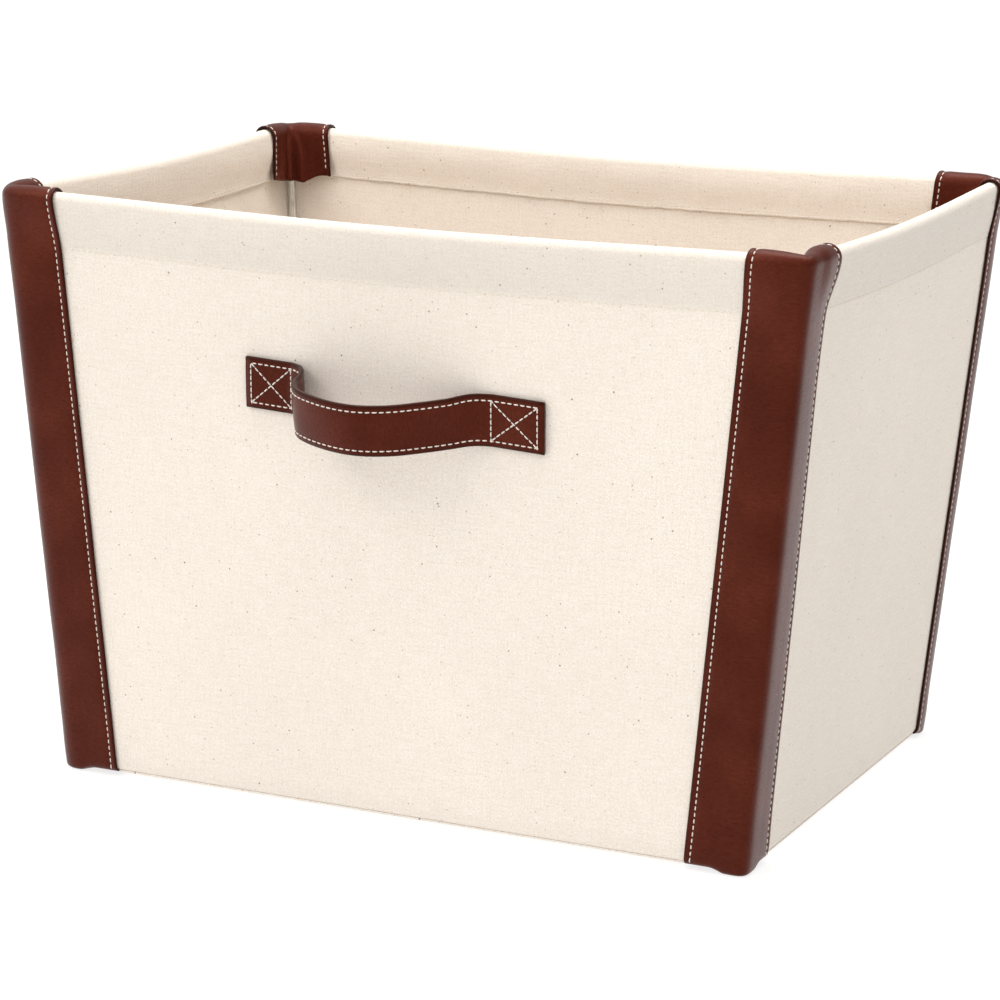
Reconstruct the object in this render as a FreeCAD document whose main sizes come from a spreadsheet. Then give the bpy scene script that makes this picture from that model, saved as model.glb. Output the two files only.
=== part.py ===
import FreeCAD, Part
import Sketcher
import math
import os

# Open-top fabric storage bin: a welded wire frame inside canvas walls that flare towards the rim,
# a hem turned in over the rim wire, leather strips round the four corners, a strap handle on the
# front and a covered board that lies loose in the bottom.
# Frame: X to the right, -Y is the front, +Z up. The origin is the middle of the footprint.

doc = FreeCAD.newDocument("FabricBin")

# ---------------------------------------------------------------- driving dimensions (mm, degrees)
driving_sizes = [
    ("rim_width", 430, "outside width between the leather faces, level with the top"),
    ("rim_depth", 305, "outside depth, level with the top"),
    ("width_taper", 54, "how much narrower the bin is at the floor"),
    ("depth_taper", 27, "how much shallower the bin is at the floor"),
    ("bin_height", 300, "floor to the top of the leather at the corners"),
    ("corner_radius", 12, "plan radius of the leather round a corner"),
    ("canvas", 1.0, "one layer of canvas"),
    ("leather", 1.2, "one layer of leather"),
    ("strip_width", 33, "leather on each side of a corner"),
    ("wire", 5, "diameter of the rim and base wires"),
    ("post_wire", 4.8, "diameter of the corner posts"),
    ("wire_play", 0.3, "between a wire and the canvas outside it"),
    ("rim_sag", 3, "drop of the rim in the middle of each side"),
    ("hem_depth", 31, "top of the bin to the free edge of the hem"),
    ("hem_row", 29, "top of the bin to the hem's stitch row"),
    ("seam_bite", 0.3, "how far one sewn layer sinks into the next"),
    ("thread", 0.8, "width of a stitch row"),
    ("thread_rise", 0.4, "how far a stitch row stands off the surface"),
    ("stitch_inset", 4.5, "stitch row to the edge of a strip"),
    ("board", 3, "thickness of the loose base board"),
    ("board_cover", 1, "canvas glued round the board"),
    ("board_gap", 3, "between the covered board and the walls"),
    ("board_rest", 0.3, "between the covered board and the base wire"),
    ("board_radius", 17, "plan radius of the covered board, which clears the posts"),
    ("handle_length", 158, "over both sewn ends of the strap"),
    ("handle_below", 92, "middle of the strap below the top of the bin"),
    ("strap_width", 25.5, "strap, edge to edge"),
    ("strap", 3, "strap thickness, two layers of leather"),
    ("tab_length", 27, "sewn end of the strap"),
    ("tab_gap", 0.6, "between a sewn end and the free loop"),
    ("handle_reach", 38, "how far the loop stands off the wall"),
    ("handle_droop", 10, "angle of the loop below level, at rest"),
    ("handle_lift", 40, "swing up from rest"),
    ("handle_drop", 20, "swing down from rest"),
    ("handle_ease", 2, "spare angle past each end of the swing"),
    ("handle_inset", 3.5, "stitch row to the edge of the strap"),
    ("tab_radius", 1.5, "rounded corners of a sewn end"),
    ("turn_run", 10.4, "strap against the wall before the loop turns away"),
]

sheet = doc.addObject("Spreadsheet::Sheet", "Sizes")
for row, (alias, value, note) in enumerate(driving_sizes, start=1):
    sheet.set(f"A{row}", note)
    sheet.set(f"B{row}", str(value))
    sheet.setAlias(f"B{row}", alias)
doc.recompute()


def size(alias):
    return float(sheet.get(alias))


def cells(expression):
    # Every alias in a written formula gets the sheet's name, so that it can bind a property.
    for alias in sorted((entry[0] for entry in driving_sizes), key=len, reverse=True):
        expression = expression.replace("{" + alias + "}", "Sizes." + alias)
    return expression


def bind(item, **formulas):
    for name, formula in formulas.items():
        item.setExpression(name.replace("__", "."), cells(formula))


def evaluate(expression):
    return float(sheet.evalExpression(cells(expression)))


# ---------------------------------------------------------------- levels and offsets, as formulas
# An offset is counted inwards from the leather's outer face, level with the floor.
CANVAS_FACE = "{leather}"
CANVAS_BACK = "({leather} + {canvas})"
WIRE_LINE = "({leather} + {canvas} + {wire_play} + {wire} / 2)"
WIRE_RADIUS = "({wire} / 2)"
ROLL_RADIUS = "({wire} / 2 + {canvas})"
LEATHER_ROLL = "({wire} / 2 + {canvas} + {leather})"
THREAD_ROLL = "({wire} / 2 + {canvas} + {leather} + {thread_rise})"
RIM_LEVEL = "({bin_height} - {wire} / 2 - {canvas} - {leather})"
FOOT_TOP = "(2 * {leather})"
BASE_TOP = "(2 * {leather} + {canvas})"
BASE_WIRE_LEVEL = "(2 * {leather} + {canvas} + {wire} / 2)"
BOARD_BOTTOM = "(2 * {leather} + {canvas} + {wire} + {board_rest})"
BOARD_TOP = "(2 * {leather} + {canvas} + {wire} + {board_rest} + {board} + 2 * {board_cover})"
HEM_BOTTOM = "({bin_height} - {hem_depth})"
FLAP_BACK = f"({WIRE_LINE} + {LEATHER_ROLL} - {{seam_bite}})"
FLAP_FACE = f"({FLAP_BACK} - {{leather}})"


def half(axis, level):
    # Half the outside size at a level: it grows in a straight line from the floor to the rim.
    rim, taper = ("{rim_width}", "{width_taper}") if axis == "x" else ("{rim_depth}", "{depth_taper}")
    return f"(({rim} - {taper}) / 2 + {taper} / 2 * {level} / {{bin_height}})"


# ---------------------------------------------------------------- building blocks
UPRIGHT = FreeCAD.Rotation(FreeCAD.Vector(1, 0, 0), 90)   # a wedge's own height runs along Y
SMALLEST_RADIUS = 1.0                                     # of an upright edge


def block(name, low, high, x_low, x_high, y_low, y_high):
    # A block with sloping sides. Each side is a formula of the level, given as a function.
    wedge = doc.addObject("Part::Wedge", name)
    wedge.Placement.Rotation = UPRIGHT
    bind(wedge, Ymin=low, Ymax=high,
         Xmin=x_low(low), Xmax=x_high(low), X2min=x_low(high), X2max=x_high(high),
         Zmin=f"-1 * ({y_high(low)})", Zmax=f"-1 * ({y_low(low)})",
         Z2min=f"-1 * ({y_high(high)})", Z2max=f"-1 * ({y_low(high)})")
    return wedge


def round_uprights(name, wedge, radius):
    doc.recompute()
    uprights = [number for number, edge in enumerate(wedge.Shape.Edges, start=1)
                if abs(edge.Vertexes[0].Z - edge.Vertexes[-1].Z) > 1e-6]
    rounded = doc.addObject("Part::Fillet", name)
    rounded.Base = wedge
    rounded.Edges = [(number, radius, radius) for number in uprights]
    return rounded


def flared(name, offset, low, high, offset_high=None):
    # The filled space inside the walls at an offset, with rounded corners.
    offset_high = offset_high or offset
    at = {low: offset, high: offset_high}
    wedge = block(name + "_block", low, high,
                  lambda z: f"-1 * ({half('x', z)} - {at[z]})", lambda z: f"{half('x', z)} - {at[z]}",
                  lambda z: f"-1 * ({half('y', z)} - {at[z]})", lambda z: f"{half('y', z)} - {at[z]}")
    corner = size("corner_radius") - evaluate(offset)
    return round_uprights(name, wedge, max(corner, SMALLEST_RADIUS))


def cut(name, base, tool):
    result = doc.addObject("Part::Cut", name)
    result.Base, result.Tool = base, tool
    return result


def fuse(name, items):
    result = doc.addObject("Part::MultiFuse", name)
    result.Shapes = items
    return result


def common(name, items):
    result = doc.addObject("Part::MultiCommon", name)
    result.Shapes = items
    return result


def shell(name, outer, inner, low, high, outer_high=None, inner_high=None):
    # A wall between two offsets.
    return cut(name, flared(name + "_out", outer, low, high, outer_high),
               flared(name + "_in", inner, low, high, inner_high))


def layer(name, offset, low, high):
    # A thin level slice of the filled space inside the walls.
    slab = doc.addObject("Part::Box", name + "_slab")
    bind(slab, Length="2 * {rim_width}", Width="2 * {rim_depth}", Height=f"{high} - {low}",
         Placement__Base__x="-1 * {rim_width}", Placement__Base__y="-1 * {rim_depth}",
         Placement__Base__z=low)
    return common(name, [flared(name + "_room", offset, BELOW, ABOVE), slab])


def feature(name, shape):
    item = doc.addObject("Part::Feature", name)
    item.Shape = shape
    return item


# ---------------------------------------------------------------- the wires' paths
def corner_centre(x_sign, y_sign, level):
    radius = size("corner_radius")
    return FreeCAD.Vector(x_sign * (evaluate(half("x", level)) - radius),
                          y_sign * (evaluate(half("y", level)) - radius), evaluate(level))


def side_edge(start, end, sag):
    # One side of a wire loop: a smooth dip, level at both ends.
    if sag <= 0:
        return Part.LineSegment(start, end).toShape()
    along = end - start
    points = [start + along * share - FreeCAD.Vector(0, 0, sag * math.sin(math.pi * share) ** 2)
              for share in (0, 1 / 4, 1 / 2, 3 / 4, 1)]
    curve = Part.BSplineCurve()
    curve.interpolate(Points=points, InitialTangent=along, FinalTangent=along)
    return curve.toShape()


def wire_path(name, level, sag):
    inset = size("corner_radius") - evaluate(WIRE_LINE)
    edges = []
    ring = [(-1, -1), (1, -1), (1, 1), (-1, 1)]
    outward = [FreeCAD.Vector(0, -inset, 0), FreeCAD.Vector(inset, 0, 0),
               FreeCAD.Vector(0, inset, 0), FreeCAD.Vector(-inset, 0, 0)]
    for side in range(4):
        first = corner_centre(*ring[side], level)
        last = corner_centre(*ring[(side + 1) % 4], level)
        out, turn = outward[side], outward[(side + 1) % 4]
        edges.append(side_edge(first + out, last + out, sag))
        middle = (out + turn).normalize() * inset
        edges.append(Part.Arc(last + out, last + middle, last + turn).toShape())
    return feature(name, Part.Wire(edges))


def tube(name, path, radius):
    # A round tube along a closed path, which starts along +X.
    circle = doc.addObject("Part::Circle", name + "_section")
    bind(circle, Radius=radius)
    start = path.Shape.Edges[0].Vertexes[0].Point
    circle.Placement = FreeCAD.Placement(start, FreeCAD.Rotation(FreeCAD.Vector(0, 0, 1),
                                                                 FreeCAD.Vector(1, 0, 0)))
    doc.recompute()
    sweep = doc.addObject("Part::Sweep", name)
    sweep.Sections = [circle]
    sweep.Spine = (path, [f"Edge{i + 1}" for i in range(len(path.Shape.Edges))])
    sweep.Solid = True
    sweep.Frenet = False
    return sweep


parts = {}


def keep(name, item):
    item.Label = name
    parts[name] = item
    return item


# ---------------------------------------------------------------- the frame
rim_path = wire_path("rim_path", RIM_LEVEL, size("rim_sag"))
base_path = wire_path("base_path", BASE_WIRE_LEVEL, 0)
rim_wire = keep("rim_wire", tube("rim_wire", rim_path, WIRE_RADIUS))
base_wire = keep("base_wire", tube("base_wire", base_path, WIRE_RADIUS))

corners = {"front_left": (-1, -1), "front_right": (1, -1), "back_left": (-1, 1), "back_right": (1, 1)}
post_line = size("corner_radius") - evaluate(WIRE_LINE)
rods = []
for corner, (x_sign, y_sign) in corners.items():
    aside = FreeCAD.Vector(x_sign, y_sign, 0).normalize() * post_line
    foot = corner_centre(x_sign, y_sign, BASE_WIRE_LEVEL) + aside
    head = corner_centre(x_sign, y_sign, RIM_LEVEL) + aside
    rod = doc.addObject("Part::Cylinder", "rod_" + corner)
    bind(rod, Radius="{post_wire} / 2")
    rod.Height = (head - foot).Length
    rod.Placement = FreeCAD.Placement(foot, FreeCAD.Rotation(FreeCAD.Vector(0, 0, 1), head - foot))
    rods.append(rod)
    coped = cut("foot_of_" + corner, rod, base_wire)
    keep("corner_post_" + corner, cut("corner_post_" + corner, coped, rim_wire))
doc.recompute()

# ---------------------------------------------------------------- canvas walls
canvas_roll = cut("canvas_roll", tube("canvas_roll_out", rim_path, ROLL_RADIUS), rim_wire)
canvas_wall = shell("canvas_wall", CANVAS_FACE, CANVAS_BACK, FOOT_TOP, RIM_LEVEL)
hem_foot_face = f"({CANVAS_BACK} + {{canvas}})"
hem_foot_back = f"({CANVAS_BACK} - {{seam_bite}})"
hem_head_face = f"({WIRE_LINE} + {ROLL_RADIUS} - {{seam_bite}})"
hem_head_back = f"({hem_head_face} - {{canvas}})"
hem_flap = shell("hem_flap", hem_foot_back, hem_foot_face, HEM_BOTTOM, RIM_LEVEL,
                 hem_head_back, hem_head_face)


def corner_block(name, x_sign, y_sign, low, high, reach, margin=10):
    # The zone of a corner strip, out to its free edges.
    def side(axis, sign, outer):
        edge = f"({half(axis, '{z}')} + {margin})" if outer else f"({half(axis, '{z}')} - {reach})"
        return lambda z: f"{sign} * {edge.replace('{z}', z)}"
    x_limits = [side("x", x_sign, x_sign < 0), side("x", x_sign, x_sign > 0)]
    y_limits = [side("y", y_sign, y_sign < 0), side("y", y_sign, y_sign > 0)]
    return block(name, low, high, *x_limits, *y_limits)


BELOW, ABOVE = "-5", "({bin_height} + 5)"
strip_zones = {corner: corner_block("zone_" + corner, *signs, BELOW, ABOVE, "{strip_width}")
               for corner, signs in corners.items()}
hem_band = cut("hem_band", hem_flap, fuse("strip_zones", list(strip_zones.values())))
canvas_ring = cut("canvas_ring", fuse("canvas_layers", [canvas_wall, hem_band, canvas_roll]),
                  fuse("frame_rods", [rim_wire] + rods))


def side_sector(side, depth=30, margin=10):
    # The space of one wall, mitred at the ridges where it meets its neighbours.
    def outline(level):
        x, y, z = evaluate(half("x", level)), evaluate(half("y", level)), evaluate(level)
        corner = [(-x - margin, -y - margin), (x + margin, -y - margin),
                  (x - depth, -y + depth), (-x + depth, -y + depth)]
        if side in ("left", "right"):
            corner = [(-x - margin, -y - margin), (-x + depth, -y + depth),
                      (-x + depth, y - depth), (-x - margin, y + margin)]
        flip = -1 if side in ("back", "right") else 1
        return [FreeCAD.Vector(flip * px, flip * py, z) for px, py in corner]
    low, high = outline(BELOW), outline(ABOVE)
    walls = [[low[i], low[(i + 1) % 4], high[(i + 1) % 4], high[i]] for i in range(4)]
    faces = [Part.Face(Part.makePolygon(loop + loop[:1])) for loop in [low, high] + walls]
    return feature("sector_" + side, Part.Solid(Part.Shell(faces)))


sides = ["front", "back", "left", "right"]
sectors = {side: side_sector(side) for side in sides}
for side in sides:
    keep(side + "_panel", common(side + "_panel", [canvas_ring, sectors[side]]))
keep("base_panel", layer("base_panel", CANVAS_BACK, FOOT_TOP, BASE_TOP))

# ---------------------------------------------------------------- leather corner strips
leather_roll = cut("leather_roll", tube("leather_roll_out", rim_path, LEATHER_ROLL),
                   tube("leather_roll_in", rim_path, ROLL_RADIUS))
leather_wall = shell("leather_wall", "0", CANVAS_FACE, FOOT_TOP, RIM_LEVEL)
leather_flap = shell("leather_flap", FLAP_FACE, FLAP_BACK, HEM_BOTTOM, RIM_LEVEL)
leather_foot = layer("leather_foot", "0", "0", FOOT_TOP)
rod_group = fuse("rod_group", rods)
leather_ring = cut("leather_upper", fuse("leather_layers", [leather_roll, leather_wall, leather_flap]),
                   fuse("under_leather", [canvas_wall, tube("roll_core", rim_path, ROLL_RADIUS),
                                          rod_group]))
leather_all = fuse("leather_all", [leather_ring, leather_foot])
for corner in corners:
    keep("corner_strip_" + corner,
         common("corner_strip_" + corner, [leather_all, strip_zones[corner]]))

# ---------------------------------------------------------------- stitch rows on the strips
THREAD_FACE = "(-1 * {thread_rise})"
THREAD_FLAP = f"({FLAP_BACK} + {{thread_rise}})"
thread_layers = [shell("thread_wall", THREAD_FACE, "0", FOOT_TOP, RIM_LEVEL),
                 tube("thread_roll", rim_path, THREAD_ROLL),
                 shell("thread_flap", FLAP_BACK, THREAD_FLAP, HEM_BOTTOM, RIM_LEVEL)]
thread_cores = [shell("wall_core", "0", FLAP_BACK, FOOT_TOP, RIM_LEVEL),
                tube("roll_core_leather", rim_path, LEATHER_ROLL)]


def row_block(name, axis, x_sign, y_sign, reach=20, margin=10):
    # A thin upright slice across one wall, where a stitch row runs beside a strip's free edge.
    def across(sign, edge):
        line = "{strip_width} + {stitch_inset}"
        return lambda z: f"{sign} * ({half(axis, z)} - {line}) {edge} {{thread}} / 2"

    def along(other, sign, outer):
        edge = f"+ {margin}" if outer else f"- {reach}"
        return lambda z: f"{sign} * ({half(other, z)} {edge})"

    if axis == "x":
        return block(name, FOOT_TOP, ABOVE, across(x_sign, "-"), across(x_sign, "+"),
                     along("y", y_sign, y_sign < 0), along("y", y_sign, y_sign > 0))
    return block(name, FOOT_TOP, ABOVE, along("x", x_sign, x_sign < 0), along("x", x_sign, x_sign > 0),
                 across(y_sign, "-"), across(y_sign, "+"))


for corner, signs in corners.items():
    rows = fuse("rows_" + corner,
                [row_block(f"row_{axis}_{corner}", axis, *signs) for axis in ("x", "y")])
    thread = fuse("thread_layers_" + corner,
                  [common(f"{layer.Name}_{corner}", [layer, rows]) for layer in thread_layers])
    for core in thread_cores:
        thread = cut(f"thread_{corner}_over_{core.Name}", thread, core)
    keep("corner_thread_" + corner, thread)

# ---------------------------------------------------------------- stitch row along the hem
hem_row_low = "({bin_height} - {hem_row} - {thread} / 2)"
hem_row_high = "({bin_height} - {hem_row} + {thread} / 2)"
hem_row = cut("hem_row", shell("hem_row_band", "({leather} - {thread_rise})", CANVAS_FACE,
                               hem_row_low, hem_row_high),
              fuse("strip_zones_for_hem", list(strip_zones.values())))
for side in sides:
    keep("hem_thread_" + side, common("hem_thread_" + side, [hem_row, sectors[side]]))


# ---------------------------------------------------------------- flat plates
def plate(name, length, width, thickness, radius):
    # A rounded rectangle, centred on the body's own origin and padded upwards.
    body = doc.addObject("PartDesign::Body", name)
    sketch = body.newObject("Sketcher::SketchObject", name + "_outline")
    plane = next(item for item in body.Origin.OriginFeatures if item.Role == "XY_Plane")
    sketch.AttachmentSupport = [(plane, "")]
    sketch.MapMode = "FlatFace"
    at = [FreeCAD.Vector(x, y, 0) for x, y in ((-9, -6), (9, -6), (9, 6), (-9, 6))]
    for start, end in zip(at, at[1:] + at[:1]):
        sketch.addGeometry(Part.LineSegment(start, end))
    for line in range(4):
        sketch.addConstraint(Sketcher.Constraint("Coincident", line, 2, (line + 1) % 4, 1))
        sketch.addConstraint(Sketcher.Constraint("Vertical" if line % 2 else "Horizontal", line))
    sketch.addConstraint(Sketcher.Constraint("Symmetric", 0, 1, 2, 1, -1, 1))
    sketch.addConstraint(Sketcher.Constraint("DistanceX", 0, 1, 0, 2, 18))
    sketch.addConstraint(Sketcher.Constraint("DistanceY", 1, 1, 1, 2, 12))
    sketch.renameConstraint(9, "length")
    sketch.renameConstraint(10, "width")
    bind(sketch, Constraints__length=length, Constraints__width=width)
    pad = body.newObject("PartDesign::Pad", name + "_pad")
    pad.Profile = sketch
    bind(pad, Length=thickness)
    doc.recompute()
    uprights = [f"Edge{number}" for number, edge in enumerate(pad.Shape.Edges, start=1)
                if abs(edge.Vertexes[0].Z - edge.Vertexes[-1].Z) > 1e-6]
    rounding = body.newObject("PartDesign::Fillet", name + "_corners")
    rounding.Base = (pad, uprights)
    bind(rounding, Radius=radius)
    body.Tip = rounding
    return body


# ---------------------------------------------------------------- loose base board
def board_size(axis, inset):
    return f"2 * ({half(axis, BOARD_BOTTOM)} - {CANVAS_BACK} - {{board_gap}} - {inset})"


core = plate("base_board", board_size("x", "{board_cover}"), board_size("y", "{board_cover}"),
             "{board}", "{board_radius} - {board_cover}")
bind(core, Placement__Base__z=f"{BOARD_BOTTOM} + {{board_cover}}")
cover = plate("cover_outside", board_size("x", "0"), board_size("y", "0"),
              "{board} + 2 * {board_cover}", "{board_radius}")
bind(cover, Placement__Base__z=BOARD_BOTTOM)
keep("base_board", core)
keep("base_board_cover", cut("base_board_cover", cover, core))

# ---------------------------------------------------------------- strap handle on the front
WALL_LEAN = "atan({depth_taper} / 2 / {bin_height})"
wall_lean = evaluate(WALL_LEAN)
HANDLE_LEVEL = "({bin_height} - {handle_below})"
handle_level = evaluate(HANDLE_LEVEL)
front_face = -(evaluate(half("y", HANDLE_LEVEL)) - evaluate(CANVAS_FACE))
X_AXIS = FreeCAD.Vector(1, 0, 0)
on_wall = FreeCAD.Placement(FreeCAD.Vector(0, front_face, handle_level),
                            FreeCAD.Rotation(X_AXIS, 90 + wall_lean))
tab_middle = "({handle_length} - {tab_length}) / 2"


def on_front(item, x=0.0, up=0.0, out=0.0, turn=0.0):
    # Lays an item on the front wall beside the handle's middle, turned in the wall's plane.
    item.Placement = on_wall * FreeCAD.Placement(FreeCAD.Vector(x, up, out),
                                                 FreeCAD.Rotation(FreeCAD.Vector(0, 0, 1), turn))


for side, sign in (("left", -1), ("right", 1)):
    tab = plate("handle_tab_" + side, "{tab_length}", "{strap_width}", "{strap}", "{tab_radius}")
    middle = sign * evaluate(tab_middle)
    on_front(tab, x=middle)
    keep("handle_tab_" + side, tab)
    box_length = size("tab_length") - 2 * size("handle_inset")
    box_width = size("strap_width") - 2 * size("handle_inset")
    slope = math.degrees(math.atan2(box_width, box_length))
    diagonal = math.hypot(box_width, box_length)
    bars = [(0, box_width / 2, 0, box_length), (0, -box_width / 2, 0, box_length),
            (box_length / 2, 0, 90, box_width), (-box_length / 2, 0, 90, box_width),
            (0, 0, slope, diagonal), (0, 0, -slope, diagonal)]
    stitches = []
    for number, (x, up, turn, length) in enumerate(bars):
        bar = doc.addObject("Part::Box", f"tab_{side}_row_{number}")
        bind(bar, Width="{thread}", Height="{thread_rise}")
        bar.Length = length + size("thread")
        centred = FreeCAD.Placement(FreeCAD.Vector(-bar.Length.Value / 2, -size("thread") / 2, 0),
                                    FreeCAD.Rotation())
        on_front(bar, middle + x, up, size("strap"), turn)
        bar.Placement = bar.Placement * centred
        stitches.append(bar)
    keep("handle_tab_thread_" + side, fuse("handle_tab_thread_" + side, stitches))


def bent_path(name, points, radii):
    # Straight runs joined by tangent arcs, in the plane of the strap's length and its stand-off.
    corners_at = [FreeCAD.Vector(x, 0, out) for x, out in points]
    edges, last = [], corners_at[0]
    for before, here, after, radius in zip(corners_at, corners_at[1:], corners_at[2:], radii):
        back, ahead = (before - here).normalize(), (after - here).normalize()
        half_angle = back.getAngle(ahead) / 2
        run = radius / math.tan(half_angle)
        middle = (back + ahead).normalize() * (radius / math.sin(half_angle) - radius)
        edges.append(Part.LineSegment(last, here + back * run).toShape())
        edges.append(Part.Arc(here + back * run, here + middle, here + ahead * run).toShape())
        last = here + ahead * run
    edges.append(Part.LineSegment(last, corners_at[-1]).toShape())
    return feature(name, Part.Wire(edges))


loop_end = size("handle_length") / 2 - size("tab_length") - size("tab_gap")
strap_middle = size("strap") / 2
foot_x = loop_end - size("turn_run")
shoulder_out = 0.8 * size("handle_reach")     # the left side climbs straight to this height
crown_x = 0.12 * loop_end                     # the loop's highest point, right of its middle
# the bends, from the left foot to the right one, grow and shrink with the loop's half length
bend_radii = [loop_end * share for share in (0.136, 0.253, 0.428, 0.389)]
loop_path = bent_path("loop_path", [
    (-loop_end, strap_middle), (-foot_x, strap_middle), (-foot_x, shoulder_out),
    (crown_x, size("handle_reach")), (foot_x, strap_middle), (loop_end, strap_middle)], bend_radii)


def band(name, thickness, width, out, up):
    # A flat band that follows the loop's path, beside it by out and up.
    section = doc.addObject("Part::Plane", name + "_section")
    bind(section, Length=thickness, Width=width)
    start = loop_path.Shape.Edges[0].Vertexes[0].Point
    # the section's length stands off the wall and its width runs up the wall
    section.Placement = FreeCAD.Placement(
        start + FreeCAD.Vector(0, up - evaluate(width) / 2, out + evaluate(thickness) / 2),
        FreeCAD.Rotation(FreeCAD.Vector(0, 1, 0), 90))
    doc.recompute()
    sweep = doc.addObject("Part::Sweep", name)
    sweep.Sections = [section]
    sweep.Spine = (loop_path, [f"Edge{i + 1}" for i in range(len(loop_path.Shape.Edges))])
    sweep.Solid = True
    return sweep


def swing_room(name, angle, upward):
    # What the wall would meet at one end of the swing: the loop is cut back to a tongue there.
    room = doc.addObject("Part::Box", name)
    bind(room, Length="{handle_length}", Width="2 * {strap_width}", Height="2 * {handle_reach}")
    turn = angle if upward else -angle
    shift = FreeCAD.Vector(-size("handle_length") / 2, 0 if upward else -2 * size("strap_width"),
                           -2 * size("handle_reach"))
    room.Placement = FreeCAD.Placement(FreeCAD.Vector(), FreeCAD.Rotation(X_AXIS, turn)) \
        * FreeCAD.Placement(shift, FreeCAD.Rotation())
    return room


lean_to_droop = size("handle_droop") - wall_lean
rooms = fuse("swing_rooms", [
    swing_room("room_above", size("handle_lift") + size("handle_ease") - lean_to_droop, True),
    swing_room("room_below", size("handle_drop") + size("handle_ease") + lean_to_droop, False)])
hinge_point = FreeCAD.Vector(0, front_face - size("tab_gap") / 2, handle_level)
drooping = FreeCAD.Placement(hinge_point, FreeCAD.Rotation(X_AXIS, 90 + size("handle_droop")))
row_level = "({strap_width} / 2 - {handle_inset})"
loop = cut("handle_loop", band("loop_band", "{strap}", "{strap_width}", 0, 0), rooms)
thread_out = (size("strap") + size("thread_rise")) / 2
loop_rows = fuse("loop_rows", [band(f"loop_row_{sign}", "{thread_rise}", "{thread}", thread_out,
                                    sign * evaluate(row_level)) for sign in (1, -1)])
loop_thread = cut("handle_loop_thread", loop_rows, rooms)
for name, item in (("handle_loop", loop), ("handle_loop_thread", loop_thread)):
    item.Placement = drooping
    keep(name, item)

# ---------------------------------------------------------------- checks and export
doc.recompute()
for item in doc.Objects:
    if "Invalid" in item.State or "Error" in item.State:
        raise RuntimeError(f"{item.Name} did not build: {item.State}")
for name, part in parts.items():
    if part.Shape.isNull() or not part.Shape.isValid() or not part.Shape.Solids:
        raise RuntimeError(f"{name} has no valid solid")

os.makedirs("parts", exist_ok=True)
for name, part in sorted(parts.items()):
    part.Shape.exportStep(f"parts/{name}.step")
    box = part.Shape.BoundBox
    print(f"{name}: {len(part.Shape.Solids)} solids, {part.Shape.Volume:.1f} mm3, "
          f"x {box.XMin:.1f} {box.XMax:.1f}  y {box.YMin:.1f} {box.YMax:.1f}  "
          f"z {box.ZMin:.1f} {box.ZMax:.1f}")
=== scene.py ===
import math
import random
import bpy
from mathutils import Euler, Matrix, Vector, noise


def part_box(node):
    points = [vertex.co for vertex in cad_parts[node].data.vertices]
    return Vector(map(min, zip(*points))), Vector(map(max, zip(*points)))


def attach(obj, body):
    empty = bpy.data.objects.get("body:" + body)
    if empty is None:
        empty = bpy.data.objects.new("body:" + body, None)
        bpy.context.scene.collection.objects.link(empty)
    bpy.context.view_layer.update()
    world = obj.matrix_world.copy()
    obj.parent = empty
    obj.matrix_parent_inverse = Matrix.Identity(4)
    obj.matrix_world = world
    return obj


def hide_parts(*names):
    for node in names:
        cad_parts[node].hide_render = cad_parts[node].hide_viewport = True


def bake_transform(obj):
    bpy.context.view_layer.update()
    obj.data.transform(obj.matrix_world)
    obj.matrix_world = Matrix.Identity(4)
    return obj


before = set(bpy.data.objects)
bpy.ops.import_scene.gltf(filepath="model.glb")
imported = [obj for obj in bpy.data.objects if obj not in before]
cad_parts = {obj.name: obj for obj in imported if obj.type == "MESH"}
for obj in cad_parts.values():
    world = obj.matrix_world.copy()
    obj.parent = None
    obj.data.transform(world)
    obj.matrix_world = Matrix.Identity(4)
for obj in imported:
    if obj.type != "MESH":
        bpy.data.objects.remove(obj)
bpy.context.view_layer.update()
mm = 0.001
random.seed(7)

# The wires carry the cloth, so every sheet is placed from their boxes: "out" is metres
# outwards from the wires' middle line, and a corner bends round the wire's own corner.
wireLow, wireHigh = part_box("rim_wire")
footLow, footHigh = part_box("base_wire")
wireRadius = (footHigh.z - footLow.z) / 2
rimLevel = wireHigh.z - wireRadius
footLevel = footHigh.z - wireRadius
rimHalf = (wireHigh.x - wireRadius, wireHigh.y - wireRadius)
footHalf = (footHigh.x - wireRadius, footHigh.y - wireRadius)
wireSag = wireHigh.z - wireLow.z - 2 * wireRadius
wireBend = 7 * mm

sides = {"front": (1, 0), "right": (0, 1), "back": (-1, 0), "left": (0, -1)}
corners = {"front_left": (-1, -1), "front_right": (1, -1), "back_left": (-1, 1), "back_right": (1, 1)}


def smooth(low, high, value):
    share = min(1.0, max(0.0, (value - low) / (high - low)))
    return share * share * (3 - 2 * share)


def mix(first, second, share):
    return first + (second - first) * share


def linear(hexColour):
    values = [int(hexColour[i:i + 2], 16) / 255 for i in (1, 3, 5)]
    return [v / 12.92 if v <= 0.04045 else ((v + 0.055) / 1.055) ** 2.4 for v in values] + [1.0]


def addNode(owner, kind, settings=None, links=None):
    # settings: attributes, a ramp's stops, or sockets by name or number with their values
    # links: sockets with what feeds them, a node's socket or a node for its first output
    tree = owner.node_tree
    node = tree.nodes.new(kind)
    for key, value in (settings or {}).items():
        if key == "stops":
            while len(node.color_ramp.elements) < len(value):
                node.color_ramp.elements.new(0.5)
            for element, (place, colour) in zip(node.color_ramp.elements, value):
                element.position = place
                element.color = linear(colour) if isinstance(colour, str) else (colour,) * 3 + (1,)
        elif isinstance(key, str) and hasattr(node, key):
            setattr(node, key, value)
        else:
            node.inputs[key].default_value = value
    for key, source in (links or {}).items():
        tree.links.new(source.outputs[0] if isinstance(source, bpy.types.Node) else source, node.inputs[key])
    return node


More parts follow.
